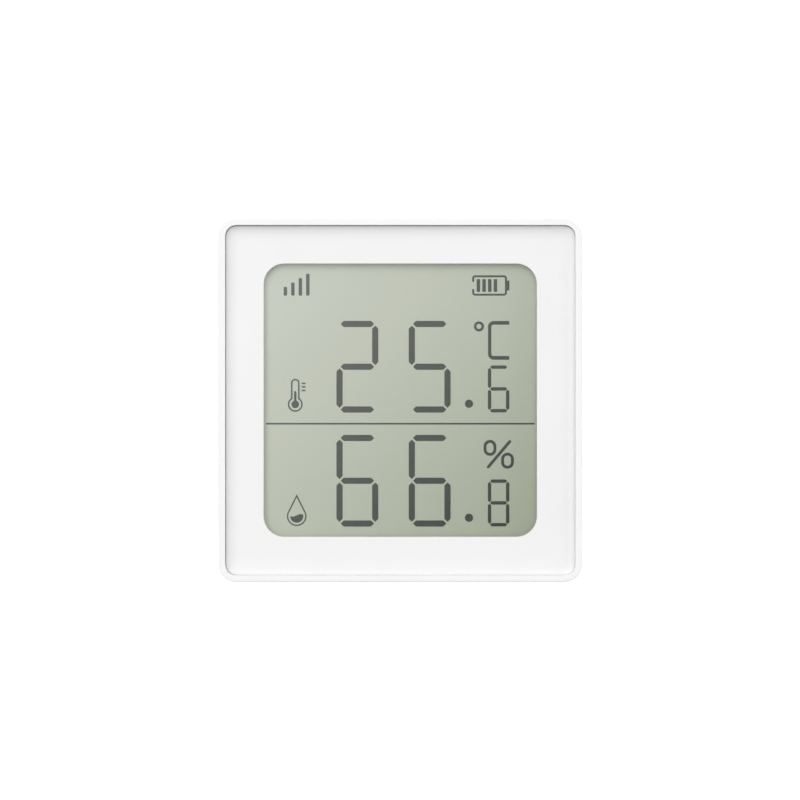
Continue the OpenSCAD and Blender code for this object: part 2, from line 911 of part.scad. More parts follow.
// Solid bed under the door's hinge, from the lower wall to the bay
module hinge_bed() {
    low = -in_h / 2 - over;
    high = bay_low_y + over;
    cheek_y = hinge_y + cheek_rise;
    pad([0, (low + high) / 2], [in_w + over, high - low], over, cheek_h);
    for (side = [-1, 1])
        pad([side * (recess_w + in_w) / 4, (low + cheek_y) / 2],
            [(in_w - recess_w) / 2 + over, cheek_y - low], over, cheek_h);
}

module shell_hollows() {
    bay_h = bay_high_y - bay_low_y;
    pad([0, (bay_high_y + bay_low_y) / 2], [bay_w, bay_h], -over, bay_z);
    along_x(recess_w) door_room();
    translate([0, hinge_y, hinge_z]) rotate([0, 90, 0])
        cylinder(r = pin_r + pin_gap, h = door_w + 2 * (pin_len + fit_gap), center = true);
    translate([0, recess_high_y, -over]) cylinder(r = latch_w / 2, h = notch_depth + over);
    for (side = [-1, 1]) {
        rod(side * case_screw_x, case_screw_y, case_head_r + fit_gap, -over, screw_seat_z);
        rod(side * case_screw_x, case_screw_y, case_screw_r + fit_gap, screw_seat_z - over, post_z + over);
        for (i = [0:vent_count - 1])
            translate([side * (in_w + wall) / 2, vent_y - i * vent_pitch, vent_z])
                along_x(2 * wall) slot(vent_r, vent_len);
    }
    translate([0, key_y, -over]) linear_extrude(wall + 2 * over) keyhole();
    pad([0, key_pocket_y], [key_pocket_w, key_pocket_h], wall, wall + key_depth);
    rod(button_x, button_y, button_r + button_gap, -over, wall + over);
    rod(button_x, button_y, collar_r, wall, wall + collar_h + over);
    for (y = [lower_y, upper_y])
        pad([bay_w / 2 - plate_t / 2, y], [plate_t + 2 * fit_gap, tail_w + 2 * fit_gap],
            bay_z - over, bay_front_z + over);
}

module rear_shell() {
    back_in = (wall + back_edge_r) / 2;
    color("white") stand() {
        difference() {
            union() {
                swept_frame(case_w, case_h, corner_r) rear_section();
                slab(case_w - 2 * back_in, case_h - 2 * back_in, corner_r - back_in, 0, wall);
                bay_block();
                hinge_bed();
                for (side = [-1, 1]) {
                    rod(side * case_screw_x, case_screw_y, post_r, over, post_z);
                    hook(side, hook_skin + fit_gap, lap_t + fit_gap + over, 0);
                }
                pad([0, key_pocket_y], [key_pocket_w + 2 * key_wall, key_pocket_h + 2 * key_wall],
                    over, wall + key_depth + key_wall);
                rod(button_x, button_y, collar_r + collar_t, over, wall + collar_h);
            }
            shell_hollows();
        }
        for (end = [[1, lower_y], [1, upper_y]], side = [-1, 1]) plate_keeper(end[0], end[1], side);
        plate_keeper(-1, lower_y, -1);
        plate_keeper(-1, upper_y, 1);
        pad([0, (lower_y + upper_y) / 2], [divider_len, divider_w], bay_z - divider_h, bay_z + over);
    }
}

module battery_door() {
    slit_x = (latch_w + latch_slit) / 2;
    color("white") stand() {
        difference() {
            along_x(door_w) {
                translate([hinge_y, hinge_z]) circle(roll_r);
                translate([hinge_y, 0]) square([door_high_y - hinge_y, door_t]);
            }
            for (side = [-1, 1])
                pad([side * slit_x, door_high_y], [latch_slit, 2 * latch_len], -over, door_t + over);
            for (i = [0:grip_count - 1])
                pad([0, door_high_y - grip_first - i * grip_step], [latch_w - 2 * grip_side, grip_t],
                    -over, grip_cut);
        }
        translate([0, hinge_y, hinge_z]) rotate([0, 90, 0])
            cylinder(r = pin_r, h = door_w + 2 * pin_len, center = true);
    }
}

// Cell along +x from its flat end, with its nub's face at x = 0
module cell() {
    r = cell_d / 2;
    chamfer = 0.6;
    shoulder = cell_len - nub_h;
    translate([-cell_len, 0, 0]) rotate([0, 90, 0]) rotate_extrude()
        polygon([[0, 0], [r - chamfer, 0], [r, chamfer], [r, shoulder - chamfer],
            [r - chamfer, shoulder], [nub_r, shoulder], [nub_r, cell_len], [0, cell_len]]);
}

module upper_cell() {
    color([0.25, 0.4, 0.3]) stand() translate([-cell_end, upper_y, cell_z]) rotate(180) cell();
}

module lower_cell() {
    color([0.25, 0.4, 0.3]) stand() translate([cell_end, lower_y, cell_z]) cell();
}

// Square contact plate against an end of the bay
module contact_plate(end, y) {
    pad([end * (bay_w - plate_t) / 2, y], [plate_t, plate_w], cell_z - plate_w / 2, cell_z + plate_w / 2);
}

// Solder tail from a contact plate to the board
module contact_tail(y) {
    pad([(bay_w - plate_t) / 2, y], [plate_t, tail_w], cell_z, solder_z);
}

// Pressed bump that meets a cell's nub
module contact_bump(end, y) {
    translate([end * (bay_w / 2 - plate_t - bump_h / 2 + over / 2), y, cell_z]) rotate([0, 90, 0])
        cylinder(r = bump_r, h = bump_h + over, center = true);
}

module positive_plate() {
    color("silver") stand() {
        contact_plate(1, lower_y);
        contact_bump(1, lower_y);
        contact_tail(lower_y);
    }
}

module negative_plate() {
    color("silver") stand() {
        contact_plate(1, upper_y);
        contact_tail(upper_y);
    }
}

module link_plate() {
    color("silver") stand() {
        contact_plate(-1, lower_y);
        contact_plate(-1, upper_y);
        contact_bump(-1, upper_y);
        pad([-(bay_w - plate_t) / 2, (lower_y + upper_y) / 2], [plate_t, upper_y - lower_y],
            cell_z - tail_w, cell_z + tail_w);
    }
}

// Contact spring: a cone of turns that narrows from the plate to the cell
spring_turns = 3.5;
spring_in = 0.8;
spring_base_r = plate_w / 2 - spring_in;
spring_taper = 1.2;
spring_tip_r = spring_base_r - spring_taper;
rings_per_turn = 8;
wire_sides = 6;
coil_rings = spring_turns * rings_per_turn;
function coil_point(i) = let (t = i / coil_rings, r = spring_base_r + (spring_tip_r - spring_base_r) * t,
    a = 360 * spring_turns * t)
    [r * cos(a), r * sin(a), wire_d + (spring_len - 2 * wire_d) * t];
spring_path = concat([[spring_base_r, 0, 0]],
    [for (i = [0:coil_rings]) coil_point(i)],
    [let (p = coil_point(coil_rings)) [p[0], p[1], spring_len]]);
function unit(v) = v / norm(v);
function wire_ring(i) = let (last = len(spring_path) - 1, p = spring_path[i],
    along = unit(spring_path[min(i + 1, last)] - spring_path[max(i - 1, 0)]),
    out = unit([p[0], p[1], 0]), side = unit(cross(along, out)), up = cross(side, along))
    [for (k = [0:wire_sides - 1]) let (a = 360 * k / wire_sides)
        p + wire_d / 2 * (cos(a) * up + sin(a) * side)];
spring_gap = min([for (i = [0:coil_rings], j = [0:coil_rings])
    if (j - i > rings_per_turn / 2) norm(coil_point(j) - coil_point(i))]) - wire_d;
echo("least gap between a spring's turns, mm", spring_gap);

module contact_spring() {
    rings = len(spring_path);
    points = [for (i = [0:rings - 1], p = wire_ring(i)) p];
    sides = [for (i = [0:rings - 2], k = [0:wire_sides - 1]) let (a = i * wire_sides + k,
        b = i * wire_sides + (k + 1) % wire_sides)
        each [[a, b, b + wire_sides], [a, b + wire_sides, a + wire_sides]]];
    far = (rings - 1) * wire_sides;
    near_end = [for (k = [1:wire_sides - 2]) [0, k + 1, k]];
    far_end = [for (k = [1:wire_sides - 2]) [far, far + k, far + k + 1]];
    polyhedron(points, concat(near_end, sides, far_end));
}

module negative_spring() {
    color("silver") stand() translate([bay_w / 2 - plate_t, upper_y, cell_z]) rotate([0, -90, 0])
        contact_spring();
}

module link_spring() {
    color("silver") stand() translate([plate_t - bay_w / 2, lower_y, cell_z]) rotate([0, 90, 0])
        contact_spring();
}

module case_screws() {
    color("silver") stand() for (side = [-1, 1])
        screw(side * case_screw_x, case_screw_y, case_screw_r, case_screw_len,
            case_head_r, case_head_t, screw_seat_z);
}

front_frame();
face_plate();
lcd_polariser();
lcd_front_glass();
lcd_segments();
lcd_cell_seal();
lcd_rear_glass();
lcd_reflector();
lcd_holder();
connector_strips();
main_board();
board_screws();
display_driver();
clock_crystal();
small_passives();
storage_capacitor();
humidity_sensor();
radio_board();
radio_shield();
radio_antenna();
switch_base();
switch_dome();
switch_plunger();
button_cap();
rear_shell();
battery_door();
upper_cell();
lower_cell();
positive_plate();
negative_plate();
negative_spring();
link_plate();
link_spring();
case_screws();
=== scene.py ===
import math

import bmesh
import bpy
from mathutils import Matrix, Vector


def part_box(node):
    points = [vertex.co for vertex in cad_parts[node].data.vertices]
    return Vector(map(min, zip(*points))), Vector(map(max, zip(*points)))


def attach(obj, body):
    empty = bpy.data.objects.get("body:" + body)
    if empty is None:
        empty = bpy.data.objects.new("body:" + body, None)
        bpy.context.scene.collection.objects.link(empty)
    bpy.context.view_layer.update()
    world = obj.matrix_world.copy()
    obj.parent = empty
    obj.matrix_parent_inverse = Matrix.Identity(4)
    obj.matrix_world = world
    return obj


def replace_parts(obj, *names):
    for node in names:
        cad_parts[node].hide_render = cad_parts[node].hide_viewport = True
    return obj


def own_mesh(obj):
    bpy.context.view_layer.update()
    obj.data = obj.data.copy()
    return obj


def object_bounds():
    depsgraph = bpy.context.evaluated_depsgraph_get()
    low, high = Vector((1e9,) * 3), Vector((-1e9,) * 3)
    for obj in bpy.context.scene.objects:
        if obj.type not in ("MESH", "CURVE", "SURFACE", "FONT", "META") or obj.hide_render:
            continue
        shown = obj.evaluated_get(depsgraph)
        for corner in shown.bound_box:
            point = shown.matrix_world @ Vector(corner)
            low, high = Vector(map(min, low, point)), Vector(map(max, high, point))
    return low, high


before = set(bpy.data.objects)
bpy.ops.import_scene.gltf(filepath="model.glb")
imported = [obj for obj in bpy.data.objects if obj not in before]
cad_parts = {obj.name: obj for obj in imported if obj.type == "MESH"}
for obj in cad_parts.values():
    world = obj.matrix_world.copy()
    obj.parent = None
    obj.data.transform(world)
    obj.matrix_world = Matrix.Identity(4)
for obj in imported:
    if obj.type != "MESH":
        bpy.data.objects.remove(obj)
cad_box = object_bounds()

MM = 0.001


# Materials; lengths are in mm

# Where the two ends of a noise's colours, and of its sheen, lie among its values
MOTTLE_FROM, MOTTLE_TO = 0.3, 0.7
SHEEN_FROM, SHEEN_TO = 0.25, 0.75
# Moulded plastic: size and darkest share of its flow of tone, and spread of its sheen
FLOW_GRAIN, FLOW_TINT, SHEEN_SPREAD = 9.0, 0.985, 0.06
WHITE = (0.912, 0.912, 0.909)
FACE = (0.88, 0.88, 0.878)
FACE_GLOSS, FACE_GRAIN, FACE_RELIEF = 0.4, 0.1, 0.003
# Metal: size of its lines and of its dulled patches, their tint, and how much each adds to the wear
LINE_GRAIN, PATCH_GRAIN, PATCH_TINT, LINE_WEAR, PATCH_WEAR = 0.06, 3.0, 0.86, 0.6, 0.4
# How much smoother and rougher than its gloss worn metal gets
WEAR_SMOOTH, WEAR_ROUGH = 0.08, 0.1
# Painted shade: the face greys over this width along the rim, and starts this much later above the lower rim
FACE_SHADE_WIDTH, FACE_LIT = 2.2, 0.4
# Share of that width, and the tone of the painted shade there
FACE_SHADE_TONES = ((0.0, 0.86), (0.3, 0.95), (1.0, 1.0))
# Share of X and of Z in the display's painted shade, a slope of tone from its lit upper left to its darker
# lower right, and where the slope starts and ends
DISPLAY_LEAN, DISPLAY_SPAN = (0.72, -0.69), (-52.5, 11.0)
# Film and glass: darkest share of their haze, and spread of its sheen
HAZE_TINT, HAZE_SPREAD = 0.97, 0.08
# Figures and reflector: tones of the painted shade, from the lit upper left to the darker lower right
FIGURE_PALE = (0.165, 0.166, 0.164)
FIGURE_DEEP = (0.002, 0.003, 0.002)
REFLECTOR_PALE = (0.72, 0.75, 0.67)
REFLECTOR_MIDDLE = (0.58, 0.62, 0.51)
REFLECTOR_DEEP = (0.4, 0.44, 0.325)
STRIP_PITCH = 0.2
# Printed boards: size of the patches that share a direction, and pitch of their tracks
TRACK_PATCH, TRACK_PITCH = 5.0, 0.8
# Chance above which a patch's tracks run across, and above which it has none; edges of a track
TRACK_ACROSS, TRACK_BARE, TRACK_EDGE = 0.5, 0.6, (0.6, 0.7)
# The boards' glass weave: size, and darkest share
WEAVE_GRAIN, WEAVE_TINT = 0.25, 0.85
# Rows of small components: first middles at the left and right, pitch, and length between the ends
PASSIVE_LEFT, PASSIVE_RIGHT, PASSIVE_PITCH, PASSIVE_BODY = -11.0, 6.0, 1.8, 0.55
CAPACITOR_BAR = 1.4
# Cells: radius of the bare ends, and how far from the nub's face the pale ring starts and ends
CELL_BARE_R, CELL_RING = 4.5, (5.0, 9.0)


def tinted(colour, factor):
    return tuple(c * factor for c in colour)


def grey(tone):
    return (tone,) * 3


class Paint:
    """A Principled material and the textures that feed it, measured in the part's own frame."""

    def __init__(self, name, **values):
        self.material = bpy.data.materials.new(name)
        self.material.use_nodes = True
        self.tree = self.material.node_tree
        self.shader = next(n for n in self.tree.nodes if n.type == "BSDF_PRINCIPLED")
        for socket, value in values.items():
            self.shader.inputs[socket.replace("_", " ")].default_value = value
        self.place = self.node("ShaderNodeTexCoord").outputs["Object"]

    def node(self, kind, inputs=None, **settings):
        made = self.tree.nodes.new(kind)
        for name, value in settings.items():
            setattr(made, name, value)
        for socket, value in (inputs or {}).items():
            if isinstance(value, bpy.types.NodeSocket):
                self.tree.links.new(value, made.inputs[socket])
            else:
                made.inputs[socket].default_value = value
        return made

    def feed(self, socket, value):
        self.tree.links.new(value, self.shader.inputs[socket])

    def math(self, operation, a, b=0.0):
        return self.node("ShaderNodeMath", {0: a, 1: b}, operation=operation).outputs[0]

    def span(self, value, low, high, start=0.0, end=1.0, smooth=False):
        """The value's span from low to high, stretched over start to end and held beyond it."""
        kind = "SMOOTHSTEP" if smooth else "LINEAR"
        limits = {"Value": value, "From Min": low, "From Max": high, "To Min": start, "To Max": end}
        return self.node("ShaderNodeMapRange", limits, interpolation_type=kind).outputs["Result"]

    def axis(self, name):
        return self.node("ShaderNodeSeparateXYZ", {0: self.place}).outputs[name]

    def noise(self, grain, detail=2.0, stretch=(1, 1, 1)):
        """Noise from 0 to 1 with grains of that size in mm, drawn out along an axis by stretch."""
        scale = [1 / (grain * MM * s) for s in stretch]
        where = self.node("ShaderNodeVectorMath", {0: self.place, 1: scale}, operation="MULTIPLY")
        inputs = {"Vector": where.outputs[0], "Scale": 1.0, "Detail": detail}
        return self.node("ShaderNodeTexNoise", inputs).outputs["Fac"]

    def ramp(self, value, *stops):
        """Colours along a value from 0 to 1, as pairs of place and colour."""
        made = self.node("ShaderNodeValToRGB", {"Fac": value})
        points = made.color_ramp.elements
        while len(points) < len(stops):
            points.new(0.5)
        for point, (position, colour) in zip(points, stops):
            point.position = position
            point.color = (*colour, 1.0)
        return made.outputs["Color"]

    def mottle(self, value, dark, pale):
        """Two colours over the middle of a noise, where most of its values lie."""
        return self.ramp(value, (MOTTLE_FROM, dark), (MOTTLE_TO, pale))

    def bands(self, pitch, way):
        """Bands of that pitch in mm across an axis, from 0 to 1 and back."""
        inputs = {"Vector": self.place, "Scale": 1 / (2 * math.pi * pitch * MM)}
        made = self.node("ShaderNodeTexWave", inputs, wave_type="BANDS", bands_direction=way)
        return made.outputs["Fac"]

    def blend(self, share, a, b, kind="MIX"):
        made = self.node("ShaderNodeMix", data_type="RGBA", blend_type=kind)
        for socket, value in zip((made.inputs[0], made.inputs[6], made.inputs[7]), (share, a, b)):
            if isinstance(value, bpy.types.NodeSocket):
                self.tree.links.new(value, socket)
            else:
                socket.default_value = value if isinstance(value, float) else (*value, 1.0)
        return made.outputs[2]

    def colour(self, value):
        self.feed("Base Color", value)

    def rough(self, value, low, high):
        self.feed("Roughness", self.span(value, SHEEN_FROM, SHEEN_TO, low, high))

    def bump(self, height, depth):
        """Relief of that depth in mm."""
        inputs = {"Height": height, "Distance": depth * MM, "Strength": 1.0}
        self.feed("Normal", self.node("ShaderNodeBump", inputs).outputs["Normal"])


def moulded(name, colour, gloss, grain, relief, **values):
    """Moulded plastic: a fine spark-eroded grain, a faint flow of tone and an uneven sheen."""
    paint = Paint(name, **values)
    flow = paint.noise(FLOW_GRAIN, detail=3.0)
    paint.colour(paint.mottle(flow, tinted(colour, FLOW_TINT), colour))
    texture = paint.noise(grain, detail=3.0)
    paint.rough(texture, gloss - SHEEN_SPREAD, gloss + SHEEN_SPREAD)
    paint.bump(texture, relief)
    return paint.material


def face_white():
    """Moulded white with painted shade that greys it a little towards the rim, and least above the lower
    rim.
    """
    paint = Paint("face_white")
    low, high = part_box("face_plate")
    middle, half = (low + high) / 2, (high - low) / 2
    aside = paint.math("ABSOLUTE", paint.math("SUBTRACT", paint.axis("X"), middle.x))
    beside = paint.math("SUBTRACT", half.x, aside)
    under = paint.math("SUBTRACT", high.z, paint.axis("Z"))
    over = paint.math("ADD", paint.math("SUBTRACT", paint.axis("Z"), low.z), FACE_LIT * MM)
    nearest = paint.math("MINIMUM", paint.math("MINIMUM", beside, under), over)
    edge = paint.span(nearest, 0.0, FACE_SHADE_WIDTH * MM)
    texture, flow = paint.noise(FACE_GRAIN, detail=3.0), paint.noise(FLOW_GRAIN, detail=3.0)
    clean = paint.mottle(flow, tinted(FACE, FLOW_TINT), FACE)
    # Painted shade along the rim, multiplied into the clean white
    shade = paint.ramp(edge, *((place, grey(tone)) for place, tone in FACE_SHADE_TONES))
    paint.colour(paint.blend(1.0, clean, shade, "MULTIPLY"))
    paint.rough(texture, FACE_GLOSS - SHEEN_SPREAD, FACE_GLOSS + SHEEN_SPREAD)
    paint.bump(texture, FACE_RELIEF)
    return paint.material


def metal(name, colour, gloss, stretch, relief, **values):
    """Drawn or stamped metal, with fine lines along one axis and slightly dulled patches."""
    paint = Paint(name, Metallic=1.0, **values)
    lines = paint.noise(LINE_GRAIN, detail=3.0, stretch=stretch)
    patches = paint.noise(PATCH_GRAIN, detail=4.0)
    paint.colour(paint.mottle(patches, tinted(colour, PATCH_TINT), colour))
    worn = paint.math("ADD", paint.math("MULTIPLY", lines, LINE_WEAR),
                      paint.math("MULTIPLY", patches, PATCH_WEAR))
    paint.rough(worn, gloss - WEAR_SMOOTH, gloss + WEAR_ROUGH)
    paint.bump(lines, relief)
    return paint.material


def painted_display_shade(paint):
    """Painted shade: from 0 at the display's upper left corner, towards the light, to 1 at its lower right,
    where it is painted darker.
    """
    along = [paint.math("MULTIPLY", paint.axis(name), lean) for name, lean in zip("XZ", DISPLAY_LEAN)]
    slope = paint.math("ADD", *along)
    return paint.span(slope, *(end * MM for end in DISPLAY_SPAN))


def reflector_film():
    """Grey-green film with a fine fibrous grain, and painted shade that makes it paler towards the light."""
    paint = Paint("reflector_film", Specular_IOR_Level=0.3)
    # Painted shade: the reflector's tone follows the display's slope from lit to shaded
    tone = paint.ramp(painted_display_shade(paint),
                      (0.0, REFLECTOR_PALE), (0.5, REFLECTOR_MIDDLE), (1.0, REFLECTOR_DEEP))
    fibre = paint.noise(grain=0.05, detail=2.0, stretch=(3, 1, 1))
    shade = paint.mottle(fibre, grey(0.96), grey(1.0))
    paint.colour(paint.blend(0.5, tone, shade, "MULTIPLY"))
    paint.rough(fibre, low=0.5, high=0.65)
    paint.bump(fibre, depth=0.004)
    return paint.material


def clear_layer(name, colour, alpha, gloss, grain, relief):
    """Film or glass that shows what lies behind it."""
    paint = Paint(name, Alpha=alpha, IOR=1.5)
    haze = paint.noise(grain, detail=2.0)
    paint.colour(paint.mottle(haze, tinted(colour, HAZE_TINT), colour))
    paint.rough(haze, gloss, gloss + HAZE_SPREAD)
    paint.bump(haze, relief)
    return paint.material


def striped_rubber():
    """Connector rubber: thin conducting layers between insulating ones, across the strip."""
    paint = Paint("strip_rubber", Specular_IOR_Level=0.35)
    layer = paint.bands(STRIP_PITCH, "X")
    paint.colour(paint.ramp(layer, (0.45, (0.012, 0.012, 0.013)), (0.55, (0.22, 0.22, 0.21))))
    grain = paint.noise(grain=0.08, detail=3.0)
    paint.rough(grain, low=0.55, high=0.75)
    paint.bump(grain, depth=0.01)
    return paint.material


def printed_board(name, mask, track):
    """Solder mask over tracks that run up or across from patch to patch, on a faint glass weave."""
    paint = Paint(name, Coat_Weight=0.25, Coat_Roughness=0.2)
    squares = {"Vector": paint.place, "Scale": 1 / (TRACK_PATCH * MM), "Randomness": 0.0}
    patch = paint.node("ShaderNodeTexVoronoi", squares, distance="CHEBYCHEV")
    chance = paint.node("ShaderNodeSeparateColor", {0: patch.outputs["Color"]}).outputs
    upright, level = [paint.bands(TRACK_PITCH, way) for way in "XZ"]
    across = paint.math("GREATER_THAN", chance[0], TRACK_ACROSS)
    line = paint.node("ShaderNodeMix", {0: across, 2: upright, 3: level}).outputs[0]
    bare = paint.math("GREATER_THAN", chance[1], TRACK_BARE)
    drawn = paint.span(paint.math("SUBTRACT", line, bare), *TRACK_EDGE)
    weave = paint.noise(WEAVE_GRAIN, detail=2.0)
    base = paint.mottle(weave, tinted(mask, WEAVE_TINT), mask)
    paint.colour(paint.blend(drawn, base, track))
    paint.rough(weave, low=0.28, high=0.4)
    paint.bump(drawn, depth=0.02)
    return paint.material


def chip_black():
    """Moulding compound: dark, sandy and matt."""
    paint = Paint("chip_black", Specular_IOR_Level=0.4)
    sand = paint.noise(grain=0.07, detail=4.0)
    paint.colour(paint.ramp(sand, (0.3, (0.012, 0.012, 0.013)), (0.75, (0.03, 0.03, 0.032))))
    paint.rough(sand, low=0.5, high=0.7)
    paint.bump(sand, depth=0.008)
    return paint.material


def passive_ceramic():
    """Tan bodies with tinned ends, at the pitch of the rows."""
    paint = Paint("passive_ceramic")
    x = paint.axis("X")
    right = paint.math("GREATER_THAN", x, 0.0)
    apart = (PASSIVE_RIGHT - PASSIVE_LEFT) * MM
    first = paint.math("ADD", paint.math("MULTIPLY", right, apart), PASSIVE_LEFT * MM)
    phase = paint.math("DIVIDE", paint.math("SUBTRACT", x, first), PASSIVE_PITCH * MM)
    off = paint.math("ABSOLUTE", paint.math("SUBTRACT", phase, paint.math("ROUND", phase)))
    tin = paint.math("GREATER_THAN", off, PASSIVE_BODY / 2 / PASSIVE_PITCH)
    grain = paint.noise(grain=0.06, detail=3.0)
    body = paint.mottle(grain, (0.3, 0.21, 0.13), (0.42, 0.31, 0.2))
    paint.colour(paint.blend(tin, body, (0.72, 0.72, 0.7)))
    paint.feed("Metallic", tin)
    paint.rough(grain, low=0.3, high=0.45)
    paint.bump(grain, depth=0.005)
    return paint.material


def capacitor_yellow():
    """Yellow resin with a darker bar at its marked end."""
    paint = Paint("capacitor_yellow")
    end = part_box("storage_capacitor")[1].x
    bar = paint.math("GREATER_THAN", paint.axis("X"), end - CAPACITOR_BAR * MM)
    grain = paint.noise(grain=0.1, detail=3.0)
    resin = paint.mottle(grain, (0.55, 0.33, 0.05), (0.68, 0.43, 0.08))
    paint.colour(paint.blend(bar, resin, (0.22, 0.12, 0.03)))
    paint.rough(grain, low=0.35, high=0.5)
    paint.bump(grain, depth=0.008)
    return paint.material


def cell_wrap(name, node, nub):
    """Shrunk film over a cell, with a pale ring by the nub and bare metal at both ends."""
    paint = Paint(name)
    low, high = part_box(node)
    middle = (low + high) / 2
    off = [paint.math("SUBTRACT", paint.axis(name), at) for name, at in zip("YZ", middle.yz)]
    radius = paint.math("SQRT", paint.math("ADD", *(paint.math("MULTIPLY", d, d) for d in off)))
    film = paint.math("GREATER_THAN", radius, CELL_BARE_R * MM)
    face = high.x if nub > 0 else -low.x
    from_nub = paint.math("SUBTRACT", face, paint.math("MULTIPLY", paint.axis("X"), nub))
    ring = paint.math("MULTIPLY", paint.math("GREATER_THAN", from_nub, CELL_RING[0] * MM),
                      paint.math("LESS_THAN", from_nub, CELL_RING[1] * MM))
    crease = paint.noise(grain=2.5, detail=3.0, stretch=(4, 1, 1))
    base = paint.mottle(crease, (0.022, 0.112, 0.084), (0.027, 0.125, 0.095))
    dressed = paint.blend(ring, base, (0.55, 0.57, 0.55))
    dull = paint.noise(grain=1.2, detail=4.0)
    steel = paint.mottle(dull, (0.5, 0.5, 0.49), (0.66, 0.65, 0.63))
    paint.colour(paint.blend(film, steel, dressed))
    paint.feed("Metallic", paint.math("SUBTRACT", 1.0, film))
    paint.rough(crease, low=0.2, high=0.3)
    paint.bump(crease, depth=0.01)
    return paint.material


def display_dark():
    """Dark figures in the liquid crystal, a little uneven, with painted shade that darkens them towards the
    lower right.
    """
    paint = Paint("display_dark", Specular_IOR_Level=0.2)
    cloud = paint.noise(grain=1.5, detail=3.0)
    # Painted shade: the figures' tone follows the display's slope from lit to shaded
    tone = paint.ramp(painted_display_shade(paint), (0.0, FIGURE_PALE), (1.0, FIGURE_DEEP))
    shade = paint.mottle(cloud, grey(0.9), grey(1.0))
    paint.colour(paint.blend(1.0, tone, shade, "MULTIPLY"))
    paint.rough(cloud, low=0.5, high=0.6)
    return paint.material


PAINTS = {
    "case_white": moulded("case_white", WHITE, gloss=0.42, grain=0.14, relief=0.004),
    "face_white": face_white(),
    "button_white": moulded("button_white", (0.8, 0.805, 0.81), gloss=0.38, grain=0.12, relief=0.004),
    "holder_plastic": moulded("holder_plastic", (0.62, 0.62, 0.61), gloss=0.5, grain=0.2, relief=0.006),
    "switch_black": moulded("switch_black", (0.025, 0.025, 0.028), gloss=0.45, grain=0.1, relief=0.005),
    "sensor_white": moulded("sensor_white", (0.8, 0.8, 0.78), gloss=0.55, grain=0.06, relief=0.004),
    "seal_grey": moulded("seal_grey", (0.26, 0.27, 0.25), gloss=0.5, grain=0.3, relief=0.005),
    "polariser_film": clear_layer("polariser_film", (0.5, 0.53, 0.45),
                                 alpha=0.035, gloss=0.3, grain=0.06, relief=0.002),
    "display_glass": clear_layer("display_glass", (0.6, 0.68, 0.65),
                                 alpha=0.012, gloss=0.03, grain=4.0, relief=0.0005),
    "display_dark": display_dark(),
    "reflector_film": reflector_film(),
    "strip_rubber": striped_rubber(),
    "board_green": printed_board("board_green", (0.012, 0.09, 0.045), (0.03, 0.17, 0.08)),
    "radio_green": printed_board("radio_green", (0.008, 0.05, 0.03), (0.02, 0.1, 0.055)),
    "chip_black": chip_black(),
    "passive_ceramic": passive_ceramic(),
    "capacitor_yellow": capacitor_yellow(),
    "screw_steel": metal("screw_steel", (0.56, 0.56, 0.55), gloss=0.34, stretch=(1, 1, 6), relief=0.003),
    "can_metal": metal("can_metal", (0.7, 0.7, 0.68), gloss=0.3, stretch=(8, 1, 1), relief=0.003),
    "contact_metal": metal("contact_metal", (0.74, 0.72, 0.67), gloss=0.26, stretch=(1, 6, 1), relief=0.003),
    "copper_track": metal("copper_track", (0.72, 0.4, 0.2), gloss=0.3, stretch=(6, 1, 1), relief=0.002),
}
CELL_PAINTS = {
    "upper_cell": cell_wrap("cell_wrap_upper", "upper_cell", nub=-1),
    "lower_cell": cell_wrap("cell_wrap_lower", "lower_cell", nub=1),
}


# The solids, with their edges eased and their materials

# Width of the eased edges in mm; a solid that isn't named keeps its own
EDGES = {
    "front_frame": 0.04, "rear_shell": 0.12, "battery_door": 0.15, "button_cap": 0.2,
    "lcd_holder": 0.1, "display_driver": 0.12, "clock_crystal": 0.15, "small_passives": 0.06,
    "storage_capacitor": 0.2, "humidity_sensor": 0.08, "radio_board": 0.05, "radio_shield": 0.25,
    "switch_base": 0.12, "switch_plunger": 0.15, "case_screws": 0.12, "board_screws": 0.1,
    "main_board": 0.05, "positive_plate": 0.06, "negative_plate": 0.06, "link_plate": 0.06,
}
EASE_ANGLE, EASE_STEPS = math.radians(35), 2
FLAT_ANGLE = math.radians(0.5)
WELD_REACH = 0.001


def welded(obj):
    obj.modifiers.new("weld", "WELD").merge_threshold = WELD_REACH * MM


def ease_edges(obj, width):
    """Rounds a solid's sharp edges by that width in mm, leaving its own mesh as it is."""
    welded(obj)
    flat = obj.modifiers.new("flat", "DECIMATE")
    flat.decimate_type = "DISSOLVE"
    flat.angle_limit = FLAT_ANGLE
    edge = obj.modifiers.new("edge", "BEVEL")
    edge.width = width * MM
    edge.segments = EASE_STEPS
    edge.limit_method = "ANGLE"
    edge.angle_limit = EASE_ANGLE
    edge.use_clamp_overlap = True
    obj.modifiers.new("shade", "WEIGHTED_NORMAL").keep_sharp = True


def draw_in(obj, depth):
    """Draws a solid's faces in by about that depth in mm, away from its neighbour's."""
    welded(obj)
    inward = obj.modifiers.new("inward", "DISPLACE")
    inward.mid_level = 0.0
    inward.strength = -depth * MM


for node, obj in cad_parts.items():
    slot = obj.material_slots[0]
    slot.material = CELL_PAINTS.get(node) or PAINTS[slot.material.name]
    if node in EDGES:
        ease_edges(obj, EDGES[node])


# Pieces that wind, squeeze or flatten, each in the place of its solid

def circle_angles(sides):
    return [2 * math.pi * k / sides for k in range(sides)]


